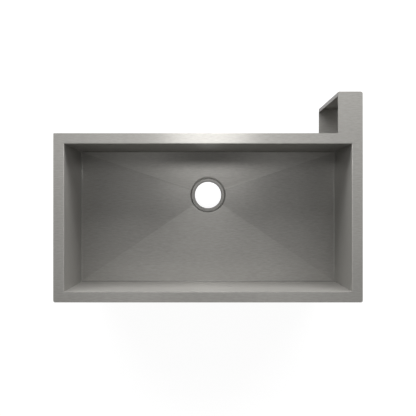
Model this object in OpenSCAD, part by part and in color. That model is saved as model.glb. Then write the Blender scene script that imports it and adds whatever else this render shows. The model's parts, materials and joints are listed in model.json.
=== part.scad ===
// Undermount kitchen sink, folded and welded from stainless sheet, with an
// open-sided channel behind its rear right corner. All lengths are millimetres.
// The origin is the centre of the bowl's opening in the rim's top face.
// X runs to the right, Y to the rear and Z up.

/* [Bowl] */
// Inside width of the bowl, left to right
bowl_w = 850; // [800:10:1000]
// Inside depth of the bowl, front to rear
bowl_d = 436; // [400:4:500]
// Height of the walls, from the edge of the floor to the rim's top face
wall_h = 240; // [180:5:260]
// Thickness of the steel sheet
sheet_t = 1.5; // [1:0.1:2]
// Inside radius of the bend between the floor and each wall
floor_bend_r = 3.5; // [3:0.5:12]
// Fall of the four floor facets, from the floor's edge to their meeting point
floor_fall = 12; // [4:0.5:16]

/* [Rim] */
// Width of the flat rim, from the wall's inner face to the outer edge
rim_w = 32; // [28:1:40]
// Outside radius of the bend between the rim and each wall
rim_bend_r = 2.5; // [2.2:0.1:4]
// Radius of the two front corners of the rim
front_corner_r = 6; // [2:1:12]
// Radius of the rear left corner of the rim
rear_corner_r = 2; // [1:0.5:8]

/* [Waste outlet] */
// Diameter of the waste hole
waste_d = 89; // [60:1:92]
// Distance from the rear wall's inner face to the centre of the waste hole
waste_from_rear = 145; // [110:5:200]
// Diameter of the flat ledge that the strainer's flange sits on
ledge_d = 109; // [106:1:116]
// Depth of the ledge below the point where the floor facets would meet
ledge_depth = 3; // [2:0.5:6]
// Lean of the recess's side away from the vertical, in degrees
recess_lean = 28; // [10:1:40]
// Inside radius at the foot of the recess's side
recess_foot_r = 1.5; // [1:0.25:3]
// Radius of the lip that turns down into the waste hole
waste_lip_r = 3; // [2.5:0.25:5]
// Straight length of the collar below that lip
waste_collar_h = 2; // [1:0.5:6]

/* [Rear channel] */
// Width of the channel, left to right
channel_w = 73; // [60:1:100]
// Length of the channel behind the rim
channel_l = 123; // [80:1:160]
// Height of the channel, from the rim's top face to its underside
channel_h = 306; // [270:2:360]
// Width of the return lip on the channel's open side
channel_lip = 13; // [8:1:20]
// Outside radius of the channel's rear right corner
channel_corner_r = 6; // [3:0.5:12]
// Outside radius of the bend between the rear wall and the return lip
channel_lip_r = 2.5; // [2.2:0.1:4]

/* [Sound pads] */
// Thickness of the rubber pads
pad_t = 4; // [2:0.5:8]
// Corner radius of the pads
pad_corner_r = 15; // [5:1:30]
// Margin between a floor pad and the edge of the floor
pad_margin = 42; // [20:2:80]
// Gap between a floor pad and the recess of the waste outlet
pad_waste_gap = 28; // [10:2:60]
// Width of the front floor pad
front_pad_w = 150; // [80:5:200]
// Height of the wall pads
wall_pad_h = 120; // [60:5:140]
// Distance from the rim's top face to the top of the wall pads
wall_pad_drop = 55; // [40:5:60]
// Margin between a wall pad's end and the wall's corner
wall_pad_margin = 70; // [20:5:120]

/* [Mounting clips] */
// Width of a clip
clip_w = 20; // [18:1:24]
// Thickness of a clip
clip_t = 2; // [1.5:0.25:2.5]
// Distance between a clip's stud and its screw hole
clip_reach = 42; // [30:1:60]
// Height of a clip's folded sides, its thickness included
clip_side_h = 6; // [4:0.5:9]
// Outside radius of a clip's folded edges
clip_edge_r = 3; // [3:0.25:4]
// Diameter of the hole for the screw into the worktop
clip_screw_d = 7; // [5:0.5:9]
// Play between a clip's hole and its stud, on the radius
clip_play = 0.1; // [0.05:0.05:0.3]
// Distance from a side wall to the nearest stud along the front or the rear
clip_inset_x = 125; // [110:5:200]
// Distance from the front or rear wall to the nearest stud along a side
clip_inset_y = 98; // [70:2:150]

/* [Studs and nuts] */
// Diameter of a weld stud
stud_d = 6; // [5:0.5:8]
// Diameter of the stud's welded base
stud_base_d = 9; // [9:0.5:12]
// Thickness of the stud's welded base
stud_base_h = 1; // [0.5:0.25:2]
// Length of stud that stands out of its nut
stud_end = 2; // [1:0.5:5]
// Diameter of a washer
washer_d = 12; // [12:0.5:14]
// Thickness of a washer
washer_t = 1.6; // [1:0.2:2.4]
// Width of a lock nut across its flats
nut_flats = 10; // [10:0.5:12]
// Height of a lock nut's hexagon
nut_hex_h = 4.5; // [3:0.5:7]
// Height of the collar on a lock nut
nut_collar_h = 1.5; // [1:0.25:3]
// Play between a nut or washer and its stud, on the radius
nut_play = 0.05; // [0.05:0.05:0.2]

/* [Hidden] */
$fn = 64;

// Length by which a cutting shape runs past what it cuts
over = 1;

// Half the bowl's opening, and the rim's outer edge, from the origin
half_w = bowl_w / 2;
half_d = bowl_d / 2;
rim_x = half_w + rim_w;
rim_y = half_d + rim_w;

// Joint between the floor pan and the panels, at the top of the floor's bends
seam_z = -(wall_h - floor_bend_r);

// Waste outlet: its place, and the heights of its floor, ledge and collar
waste_y = half_d - waste_from_rear;
facet_z = -(wall_h + floor_fall);
ledge_z = facet_z - ledge_depth;
waste_r = waste_d / 2;
waste_edge_r = waste_r + waste_lip_r;
recess_foot_run = recess_foot_r * tan((90 - recess_lean) / 2);
recess_foot_x = ledge_d / 2 + recess_foot_run;
recess_top_r = recess_foot_x + (ledge_depth + floor_fall) * tan(recess_lean);

// Channel: its left face, rear face and front face, and its clear height
channel_x = rim_x - channel_w;
channel_y = rim_y + channel_l;
channel_front_y = half_d + sheet_t;
channel_floor_z = -(channel_h - sheet_t);

// Floor pads: their outer edges and the edges beside the waste recess
pad_x = half_w - floor_bend_r - pad_margin;
pad_y = half_d - floor_bend_r - pad_margin;
pad_inner_x = recess_top_r + pad_waste_gap;
pad_front_y = waste_y - recess_top_r - pad_waste_gap;

// Clips: studs stand midway between the wall and the rim's outer edge
stud_line = (rim_w + sheet_t) / 2;
stud_x = half_w - clip_inset_x;
stud_y = half_d - clip_inset_y;
clip_z = -(sheet_t + stud_base_h);
washer_z = clip_z - clip_t;
nut_z = washer_z - washer_t;
stud_tip_z = nut_z - nut_hex_h - nut_collar_h - stud_end;

// One row for each clip: X and Y of its stud, and the turn that points it
clip_places = [
    [-stud_x, half_d + stud_line, 0],
    [0, half_d + stud_line, 0],
    [stud_x, half_d + stud_line, 0],
    [-stud_x, -half_d - stud_line, 180],
    [0, -half_d - stud_line, 180],
    [stud_x, -half_d - stud_line, 180],
    [-half_w - stud_line, -stud_y, 90],
    [-half_w - stud_line, stud_y, 90],
    [half_w + stud_line, -stud_y, -90],
    [half_w + stud_line, stud_y, -90]
];

// Rectangle between two corners
module box_2d(low, high) {
    translate(low) square(high - low);
}

// Rectangle between two corners, with its four corners rounded
module pad_outline(low, high) {
    r = pad_corner_r;
    box_2d(low + [r, 0], high - [r, 0]);
    box_2d(low + [0, r], high - [0, r]);
    for (x = [low[0] + r, high[0] - r]) {
        for (y = [low[1] + r, high[1] - r]) {
            translate([x, y]) circle(r = r);
        }
    }
}

// Extrudes a shape drawn in Y and Z along X, to both sides of X = 0
module along_x(length) {
    rotate([90, 0, 90]) linear_extrude(height = length, center = true) children();
}

// Extrudes a shape drawn in X and Z along Y, to both sides of Y = 0
module along_y(length) {
    rotate([90, 0, 0]) linear_extrude(height = length, center = true) children();
}

// What a rounded corner leaves out of a square one, at the origin
module corner_waste(r) {
    difference() {
        box_2d([-over, -over], [r, r]);
        translate([r, r]) circle(r = r);
    }
}

// Section through the space above the floor sheet, with its bends at each side;
// grow = 0 gives the sheet's upper face and grow = sheet_t its underside
module tray_section(half, grow) {
    edge = half - floor_bend_r;
    box_2d([-half - grow, seam_z], [half + grow, seam_z + over]);
    box_2d([-edge, -wall_h - grow], [edge, seam_z + over]);
    for (side = [-1, 1]) {
        translate([side * edge, seam_z]) circle(r = floor_bend_r + grow);
    }
}

// Section through the falling facets, low at the given place
module fall_section(half, low_at, grow) {
    edge = half - floor_bend_r;
    polygon([
        [-edge, seam_z],
        [-edge, -wall_h - grow],
        [low_at, facet_z - grow],
        [edge, -wall_h - grow],
        [edge, seam_z]
    ]);
}

// Section through the space in the waste recess, from its axis outwards
module recess_section(grow) {
    foot = [recess_foot_x - recess_foot_run, ledge_z];
    lean = [sin(recess_lean), cos(recess_lean)];
    square_to_lean = [cos(recess_lean), -sin(recess_lean)];
    corner = [recess_foot_x, ledge_z];
    side_foot = corner + recess_foot_run * lean + grow * square_to_lean;
    rise = -wall_h - side_foot[1];
    side_top = side_foot + rise / cos(recess_lean) * lean;
    polygon([
        [0, ledge_z - grow],
        foot - [0, grow],
        side_foot,
        side_top,
        [0, -wall_h]
    ]);
    translate(foot + [0, recess_foot_r]) circle(r = recess_foot_r + grow);
}

// Space above the floor sheet: the tray with its bends mitred in the corners,
// the four facets that fall to the waste outlet, and the recess round it
module floor_space(grow) {
    intersection() {
        along_x(bowl_w + 4 * sheet_t) tray_section(half_d, grow);
        along_y(bowl_d + 4 * sheet_t) tray_section(half_w, grow);
    }
    facet_space(grow);
    translate([0, waste_y, 0]) rotate_extrude() recess_section(grow);
}

// Space above the four facets, which meet in creases at the waste outlet
module facet_space(grow) {
    intersection() {
        along_x(bowl_w) fall_section(half_d, waste_y, grow);
        along_y(bowl_d) fall_section(half_w, 0, grow);
    }
}

// Lip and collar that turn down into the waste hole
module waste_lip() {
    bend_z = ledge_z - waste_lip_r;
    translate([0, waste_y, 0]) rotate_extrude() {
        intersection() {
            translate([waste_edge_r, bend_z]) difference() {
                circle(r = waste_lip_r);
                circle(r = waste_lip_r - sheet_t);
            }
            box_2d([waste_r, bend_z], [waste_edge_r, ledge_z]);
        }
        box_2d([waste_r, bend_z - waste_collar_h], [waste_r + sheet_t, bend_z]);
    }
}

module floor_pan() {
    color("gray") {
        difference() {
            floor_space(sheet_t);
            floor_space(0);
            translate([-rim_x, -rim_y, seam_z]) cube([2 * rim_x, 2 * rim_y, wall_h]);
            translate([0, waste_y, ledge_z - 2 * sheet_t])
                cylinder(r = waste_edge_r, h = 4 * sheet_t);
        }
        waste_lip();
    }
}

// Section through a panel: rim, bend and wall, with the wall's inner face at 0
module panel_section() {
    box_2d([rim_bend_r, -sheet_t], [rim_w, 0]);
    intersection() {
        translate([rim_bend_r, -rim_bend_r]) difference() {
            circle(r = rim_bend_r);
            circle(r = rim_bend_r - sheet_t);
        }
        box_2d([0, -rim_bend_r], [rim_bend_r, 0]);
    }
    box_2d([0, seam_z], [sheet_t, -rim_bend_r]);
}

// A wall with its strip of rim, mitred at both ends, along X and facing -Y
module panel(half_length) {
    intersection() {
        along_x(2 * (half_length + rim_w)) panel_section();
        translate([0, 0, seam_z - over]) linear_extrude(height = wall_h + 2 * over)
            polygon([
                [-half_length, 0],
                [half_length, 0],
                [half_length + rim_w, rim_w],
                [-half_length - rim_w, rim_w]
            ]);
    }
}

// Cuts the rim's free corners to their radii; the rear right one runs on
// into the channel's top plate
module rim_corners() {
    difference() {
        children();
        translate([0, 0, -2 * sheet_t]) linear_extrude(height = 4 * sheet_t) {
            translate([-rim_x, -rim_y]) corner_waste(front_corner_r);
            translate([rim_x, -rim_y]) mirror([1, 0]) corner_waste(front_corner_r);
            translate([-rim_x, rim_y]) mirror([0, 1]) corner_waste(rear_corner_r);
        }
    }
}

module front_panel() {
    color("silver") rim_corners()
        translate([0, -half_d, 0]) rotate([0, 0, 180]) panel(half_w);
}

module rear_panel() {
    color("silver") rim_corners()
        translate([0, half_d, 0]) panel(half_w);
}

module left_panel() {
    color("darkgray") rim_corners()
        translate([-half_w, 0, 0]) rotate([0, 0, 90]) panel(half_d);
}

module right_panel() {
    color("darkgray") rim_corners()
        translate([half_w, 0, 0]) rotate([0, 0, -90]) panel(half_d);
}

// Outline of the channel seen from above, drawn in by inset on its three closed
// sides, from the given front edge to the rear
module channel_outline(front_y, inset) {
    left = channel_x + inset;
    right = rim_x - inset;
    rear = channel_y - inset;
    difference() {
        box_2d([left, front_y], [right, rear]);
        translate([left, rear]) mirror([0, 1]) corner_waste(channel_lip_r - inset);
        translate([right, rear]) rotate(180) corner_waste(channel_corner_r - inset);
    }
}

module channel_top() {
    color("silver") translate([0, 0, -sheet_t]) linear_extrude(height = sheet_t)
        channel_outline(rim_y, 0);
}

// Right wall, rear wall and return lip, folded from one sheet
module channel_wrap() {
    wrap_front_y = channel_front_y + sheet_t;
    color("silver") translate([0, 0, channel_floor_z])
        linear_extrude(height = channel_h - 2 * sheet_t) difference() {
            channel_outline(wrap_front_y, 0);
            channel_outline(wrap_front_y - over, sheet_t);
            box_2d(
                [channel_x - over, wrap_front_y - over],
                [channel_x + sheet_t + over, channel_y - channel_lip]
            );
        }
}

// Plate that closes the channel's front and laps onto the bowl's rear wall
module channel_front() {
    color("darkgray")
        translate([channel_x, channel_front_y, channel_floor_z])
            cube([channel_w, sheet_t, -channel_floor_z - rim_bend_r]);
}

module channel_base() {
    color("gray") translate([0, 0, -channel_h]) linear_extrude(height = sheet_t)
        channel_outline(channel_front_y, 0);
}

// A rubber pad under the floor, which follows the facets' fall and creases
module floor_pad(low, high) {
    color("dimgray") intersection() {
        difference() {
            facet_space(sheet_t + pad_t);
            facet_space(sheet_t);
        }
        translate([0, 0, facet_z - 2 * pad_t - sheet_t])
            linear_extrude(height = wall_h) pad_outline(low, high);
    }
}

module floor_pad_left() {
    floor_pad([-pad_x, -pad_y], [-pad_inner_x, pad_y]);
}

module floor_pad_right() {
    floor_pad([pad_inner_x, -pad_y], [pad_x, pad_y]);
}

module floor_pad_front() {
    floor_pad([-front_pad_w / 2, -pad_y], [front_pad_w / 2, pad_front_y]);
}

// A rubber pad on a wall, drawn behind the wall that faces -Y
module wall_pad(low_x, high_x) {
    color("dimgray") translate([0, sheet_t + pad_t, 0]) rotate([90, 0, 0])
        linear_extrude(height = pad_t) pad_outline(
            [low_x, -wall_pad_drop - wall_pad_h],
            [high_x, -wall_pad_drop]
        );
}

module wall_pad_front() {
    translate([0, -half_d, 0]) rotate([0, 0, 180])
        wall_pad(wall_pad_margin - half_w, half_w - wall_pad_margin);
}

// The rear pad stops short of the channel's front plate
module wall_pad_rear() {
    translate([0, half_d, 0])
        wall_pad(wall_pad_margin - half_w, channel_x - wall_pad_margin);
}

module wall_pad_left() {
    translate([-half_w, 0, 0]) rotate([0, 0, 90])
        wall_pad(wall_pad_margin - half_d, half_d - wall_pad_margin);
}

module wall_pad_right() {
    translate([half_w, 0, 0]) rotate([0, 0, -90])
        wall_pad(wall_pad_margin - half_d, half_d - wall_pad_margin);
}

// Draws its child at every clip's stud
module at_each_clip() {
    for (place = clip_places) {
        translate([place[0], place[1], 0]) children();
    }
}

// Weld studs under the rim, each with the base that its clip bears on
module rim_studs() {
    color("silver") at_each_clip() {
        translate([0, 0, clip_z]) cylinder(d = stud_base_d, h = stud_base_h);
        translate([0, 0, stud_tip_z]) cylinder(d = stud_d, h = clip_z - stud_tip_z);
    }
}

module clip_washers() {
    color("lightgray") at_each_clip() translate([0, 0, nut_z]) difference() {
        cylinder(d = washer_d, h = washer_t);
        translate([0, 0, -over])
            cylinder(d = stud_d + 2 * nut_play, h = washer_t + 2 * over);
    }
}

// Self-locking nuts: a hexagon with the round collar that grips the thread
module lock_nuts() {
    nut_h = nut_hex_h + nut_collar_h;
    color("gainsboro") at_each_clip() translate([0, 0, nut_z - nut_h]) difference() {
        union() {
            cylinder(d = 0.9 * nut_flats, h = nut_h);
            translate([0, 0, nut_collar_h])
                cylinder(d = nut_flats / cos(30), h = nut_hex_h, $fn = 6);
        }
        translate([0, 0, -over])
            cylinder(d = stud_d + 2 * nut_play, h = nut_h + 2 * over);
    }
}

// Outline of a fold: flat on top at 0, with its two upper corners rounded
module fold_outline(half, r) {
    difference() {
        box_2d([-half, -clip_side_h], [half, 0]);
        translate([-half, 0]) mirror([0, 1]) corner_waste(r);
        translate([half, 0]) rotate(180) corner_waste(r);
    }
}

// Section across a clip: a flat top whose two edges are folded down
module clip_section() {
    difference() {
        fold_outline(clip_w / 2, clip_edge_r);
        translate([0, -clip_t])
            fold_outline(clip_w / 2 - clip_t, clip_edge_r - clip_t);
    }
}

// Flat round end of a clip, on the side of X = 0 that turn points away from
module clip_end(turn) {
    rotate([0, 0, turn]) intersection() {
        translate([0, 0, -clip_t]) cylinder(d = clip_w, h = clip_t);
        translate([-clip_w, -clip_w, -clip_t]) cube([clip_w, 2 * clip_w, clip_t]);
    }
}

// A clip pressed from strip, with its stud's hole at the origin and the hole
// for the worktop screw at its other end
module swing_clip() {
    difference() {
        union() {
            translate([clip_reach / 2, 0, 0]) along_x(clip_reach) clip_section();
            clip_end(0);
            translate([clip_reach, 0, 0]) clip_end(180);
        }
        translate([0, 0, -clip_t - over])
            cylinder(d = stud_d + 2 * clip_play, h = clip_t + 2 * over);
        translate([clip_reach, 0, -clip_t - over])
            cylinder(d = clip_screw_d, h = clip_t + 2 * over);
    }
}

// A clip as it is stowed: it lies along the rim from its stud and swings
// outwards from under the rim's edge
module clip(index) {
    place = clip_places[index];
    color("lightgray")
        translate([place[0], place[1], clip_z]) rotate([0, 0, place[2]]) swing_clip();
}

floor_pan();
front_panel();
rear_panel();
left_panel();
right_panel();
channel_top();
channel_wrap();
channel_front();
channel_base();
floor_pad_left();
floor_pad_right();
floor_pad_front();
wall_pad_front();
wall_pad_rear();
wall_pad_left();
wall_pad_right();
rim_studs();
clip_washers();
lock_nuts();
clip(0);  // clip_rear_left
clip(1);  // clip_rear_middle
clip(2);  // clip_rear_right
clip(3);  // clip_front_left
clip(4);  // clip_front_middle
clip(5);  // clip_front_right
clip(6);  // clip_left_front
clip(7);  // clip_left_rear
clip(8);  // clip_right_front
clip(9);  // clip_right_rear
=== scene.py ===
import json
import math

import bmesh
import bpy
from mathutils import Matrix, Vector


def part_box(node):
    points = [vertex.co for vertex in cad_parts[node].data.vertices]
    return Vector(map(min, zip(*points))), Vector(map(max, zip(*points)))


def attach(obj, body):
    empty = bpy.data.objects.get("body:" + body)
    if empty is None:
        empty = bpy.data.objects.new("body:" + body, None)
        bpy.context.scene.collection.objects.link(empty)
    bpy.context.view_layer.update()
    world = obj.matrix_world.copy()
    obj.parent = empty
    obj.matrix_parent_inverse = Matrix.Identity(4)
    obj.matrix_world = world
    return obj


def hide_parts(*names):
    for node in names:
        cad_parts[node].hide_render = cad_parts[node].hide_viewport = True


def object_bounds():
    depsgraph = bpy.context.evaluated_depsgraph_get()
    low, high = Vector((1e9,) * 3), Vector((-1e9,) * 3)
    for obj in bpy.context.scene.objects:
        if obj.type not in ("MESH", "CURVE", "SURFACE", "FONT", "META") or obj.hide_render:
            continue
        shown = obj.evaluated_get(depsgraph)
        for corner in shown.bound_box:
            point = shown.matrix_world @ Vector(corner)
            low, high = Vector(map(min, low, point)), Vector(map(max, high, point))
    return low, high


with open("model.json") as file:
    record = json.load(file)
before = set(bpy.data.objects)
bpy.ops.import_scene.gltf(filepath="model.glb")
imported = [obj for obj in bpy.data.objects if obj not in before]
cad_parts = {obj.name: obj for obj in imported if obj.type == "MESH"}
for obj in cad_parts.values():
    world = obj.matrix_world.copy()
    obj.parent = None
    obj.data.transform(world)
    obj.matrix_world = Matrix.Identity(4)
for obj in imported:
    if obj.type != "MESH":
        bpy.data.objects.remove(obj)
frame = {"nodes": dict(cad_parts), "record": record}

# Bowl floor. One sheet of stainless steel, pressed so that four facets fall to the waste
# outlet. Its edges bend up to the walls, and round the outlet it is drawn down to a ledge
# with a turned-down lip. What shows is brushed along the sink, the underside is as rolled.
cad_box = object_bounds()
mounts = {mount["name"]: mount for mount in frame["record"]["mounts"]}
SHEET = 0.0015
FLOOR_BEND = 0.0035
FLOOR_FALL = 0.012
LEDGE_RADIUS = 0.0545
RECESS_LEAN = math.radians(28)
RECESS_FOOT = 0.0015
RECESS_EDGE = 0.0040
RECESS_REACH = 0.062
LIP_RADIUS = 0.003
COLLAR_HEIGHT = 0.002
FACET_STEP = math.radians(3)
FACET_START = 0.001
FACET_END = 0.997
BEND_PARTS = 6
LIP_PARTS = 6
FOOT_PARTS = 4
pan_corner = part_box("floor_pan")[1]
BOWL_HALF_X = pan_corner[0] - SHEET
BOWL_HALF_Y = pan_corner[1] - SHEET
SEAM_HEIGHT = pan_corner[2]
EDGE_X = BOWL_HALF_X - FLOOR_BEND
EDGE_Y = BOWL_HALF_Y - FLOOR_BEND
FACET_HEIGHT = SEAM_HEIGHT - FLOOR_BEND - FLOOR_FALL
WASTE_Y = mounts["waste_hole"]["pos_m"][1]
WASTE_RADIUS = mounts["waste_hole"]["dims"]["r_mm"] / 1000
LEDGE_HEIGHT = mounts["strainer_ledge"]["pos_m"][2]
STEEL_COLOUR = (0.318, 0.310, 0.293, 1.0)
STEEL_METALLIC = 0.60
STEEL_ROUGHNESS = 0.37
STEEL_ANISOTROPY = 0.62
MILL_COLOUR = (0.26, 0.256, 0.249, 1.0)
MILL_METALLIC = 0.90
MILL_ROUGHNESS = 0.60
DOWNWARD_WEIGHT = 0.2
OUTSIDE_FROM = 0.001
SIDEWAYS_FROM = 0.7
ROLLED_GRIT = 0.004
ROLLED_TONE = 0.06
ROLLED_ROUGHNESS = 0.04
GRAIN_LENGTH = 0.018
GRAIN_PITCH = 0.0030
GRAIN_TONE = 0.9
GRAIN_ROUGHNESS = 0.3
GRAIN_RELIEF = 0.0001
HAIRLINE_LENGTH = 0.02
HAIRLINE_PITCH = 0.0004
HANDLING_PATCH = 0.14
HANDLING_TONE = 0.12
NOISE_SPREAD = (0.3, 0.7)
# Painted shade on bends that turn between up and front or back, dimming their highlights.
BEND_DULLNESS = 0.45
# Painted light on the floor: shade on the side facets and the outlet, and a highlight on the rear facet,
# strongest above the outlet.
SIDE_FACET_DEPTH = 0.10
REAR_FACET_LIFT = 0.08
BURNISH_LIFT = 0.25
BURNISH_ACROSS = (0.70, 0.15)
BURNISH_BACK = (0.80, 0.60)
OUTLET_DEPTH = 0.20


def new_group(name, inputs, outputs):
    """An empty shader node group with the named inputs and outputs."""
    group = bpy.data.node_groups.new(name, "ShaderNodeTree")
    for label, kind, value in inputs:
        group.interface.new_socket(label, in_out="INPUT", socket_type=kind).default_value = value
    for label, kind in outputs:
        group.interface.new_socket(label, in_out="OUTPUT", socket_type=kind)
    return group


def add(tree, kind, **settings):
    """A node in a tree, with its properties set."""
    node = tree.nodes.new(kind)
    for key, value in settings.items():
        setattr(node, key, value)
    return node


def feed(tree, socket, value):
    """Sets a socket to a number or colour, or links it to another socket."""
    if isinstance(value, bpy.types.NodeSocket):
        tree.links.new(value, socket)
    else:
        socket.default_value = value


def math_node(tree, operation, first, second=None, third=None):
    """A Math node; each input is a socket or a number."""
    node = add(tree, "ShaderNodeMath", operation=operation)
    for index, value in enumerate((first, second, third)):
        if value is not None:
            feed(tree, node.inputs[index], value)
    return node.outputs[0]


def ramp(tree, value, low, high, to_low=0.0, to_high=1.0):
    """A value carried smoothly from one range to another."""
    node = add(tree, "ShaderNodeMapRange", interpolation_type="SMOOTHSTEP")
    for index, item in enumerate((value, low, high, to_low, to_high)):
        feed(tree, node.inputs[index], item)
    return node.outputs[0]


def mix_value(tree, amount, first, second):
    """A number between two others; each is a socket or a number."""
    node = add(tree, "ShaderNodeMix", data_type="FLOAT")
    feed(tree, node.inputs[0], amount)
    feed(tree, node.inputs[2], first)
    feed(tree, node.inputs[3], second)
    return node.outputs[0]


def mix_colour(tree, amount, first, second, blend="MIX"):
    """A colour mix; the amount and the colours are sockets or values."""
    node = add(tree, "ShaderNodeMix", data_type="RGBA", blend_type=blend)
    feed(tree, node.inputs[0], amount)
    feed(tree, node.inputs[6], first)
    feed(tree, node.inputs[7], second)
    return node.outputs[2]


def noise(tree, place, sizes, detail, roughness=0.5):
    """Noise whose features have the given sizes along X, Y and Z."""
    mapping = add(tree, "ShaderNodeMapping")
    mapping.inputs["Scale"].default_value = [1 / size for size in sizes]
    tree.links.new(place, mapping.inputs["Vector"])
    node = add(tree, "ShaderNodeTexNoise")
    node.inputs["Scale"].default_value = 1.0
    node.inputs["Detail"].default_value = detail
    node.inputs["Roughness"].default_value = roughness
    tree.links.new(mapping.outputs[0], node.inputs["Vector"])
    return node.outputs["Fac"]


def sideways_mask(tree, normal):
    """1 on what faces left or right, where the grain runs along Y, else 0."""
    facing = add(tree, "ShaderNodeSeparateXYZ")
    tree.links.new(normal, facing.inputs[0])
    aside = math_node(tree, "ABSOLUTE", facing.outputs["X"])
    return math_node(tree, "GREATER_THAN", aside, SIDEWAYS_FROM)


def make_grain_group():
    """Brushed grain: a tone and a roughness round 1, and a height for the bump."""
    group = new_group(
        "brushed grain",
        [("Tone Depth", "NodeSocketFloat", 0.25), ("Roughness Depth", "NodeSocketFloat", 0.2)],
        [("Tone", "NodeSocketFloat"), ("Roughness", "NodeSocketFloat"), ("Height", "NodeSocketFloat")],
    )
    inputs = add(group, "NodeGroupInput")
    outputs = add(group, "NodeGroupOutput")
    place = add(group, "ShaderNodeTexCoord")
    sideways = sideways_mask(group, place.outputs["Normal"])
    layers = []
    for length, pitch, detail in ((GRAIN_LENGTH, GRAIN_PITCH, 3.0), (HAIRLINE_LENGTH, HAIRLINE_PITCH, 2.0)):
        along_x = noise(group, place.outputs["Object"], (length, pitch, pitch), detail, 0.6)
        along_y = noise(group, place.outputs["Object"], (pitch, length, pitch), detail, 0.6)
        layers.append(mix_value(group, sideways, along_x, along_y))
    both = math_node(group, "MULTIPLY_ADD", layers[1], 0.5, math_node(group, "MULTIPLY", layers[0], 0.5))
    swing = math_node(group, "SUBTRACT", both, 0.5)
    tone = math_node(group, "MULTIPLY_ADD", swing, inputs.outputs["Tone Depth"], 1.0)
    roughness = math_node(group, "MULTIPLY_ADD", swing, inputs.outputs["Roughness Depth"], 1.0)
    feed(group, outputs.inputs["Tone"], tone)
    feed(group, outputs.inputs["Roughness"], roughness)
    feed(group, outputs.inputs["Height"], both)
    return group


def make_handling_group():
    """Faint cloudy patches, as cleaning and handling leave them: a tone round 1."""
    group = new_group(
        "handling",
        [("Depth", "NodeSocketFloat", 0.05), ("Patch Size", "NodeSocketFloat", 0.11)],
        [("Tone", "NodeSocketFloat")],
    )
    inputs = add(group, "NodeGroupInput")
    outputs = add(group, "NodeGroupOutput")
    place = add(group, "ShaderNodeTexCoord")
    scaled = add(group, "ShaderNodeVectorMath", operation="SCALE")
    feed(group, scaled.inputs[0], place.outputs["Object"])
    feed(group, scaled.inputs["Scale"], math_node(group, "DIVIDE", 1.0, inputs.outputs["Patch Size"]))
    clouds = noise(group, scaled.outputs[0], (1.0, 1.0, 1.0), 3.0)
    swing = math_node(group, "SUBTRACT", clouds, 0.5)
    tone = math_node(group, "MULTIPLY_ADD", swing, inputs.outputs["Depth"], 1.0)
    feed(group, outputs.inputs["Tone"], tone)
    return group


def make_outside_group():
    """1 on faces that look down or away from the middle of a body, else 0."""
    group = new_group(
        "outer side",
        [("Middle", "NodeSocketVector", (0.0, 0.0, 0.0))],
        [("Mask", "NodeSocketFloat")],
    )
    inputs = add(group, "NodeGroupInput")
    outputs = add(group, "NodeGroupOutput")
    place = add(group, "ShaderNodeTexCoord")
    away = add(group, "ShaderNodeVectorMath", operation="SUBTRACT")
    feed(group, away.inputs[0], place.outputs["Object"])
    feed(group, away.inputs[1], inputs.outputs["Middle"])
    level = add(group, "ShaderNodeVectorMath", operation="MULTIPLY")
    feed(group, level.inputs[0], away.outputs[0])
    feed(group, level.inputs[1], (1.0, 1.0, 0.0))
    outward = add(group, "ShaderNodeVectorMath", operation="DOT_PRODUCT")
    feed(group, outward.inputs[0], level.outputs[0])
    feed(group, outward.inputs[1], place.outputs["Normal"])
    facing = add(group, "ShaderNodeSeparateXYZ")
    feed(group, facing.inputs[0], place.outputs["Normal"])
    away_or_down = math_node(
        group, "MULTIPLY_ADD", facing.outputs["Z"], -DOWNWARD_WEIGHT, outward.outputs["Value"]
    )
    feed(group, outputs.inputs["Mask"], math_node(group, "GREATER_THAN", away_or_down, OUTSIDE_FROM))
    return group


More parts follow.
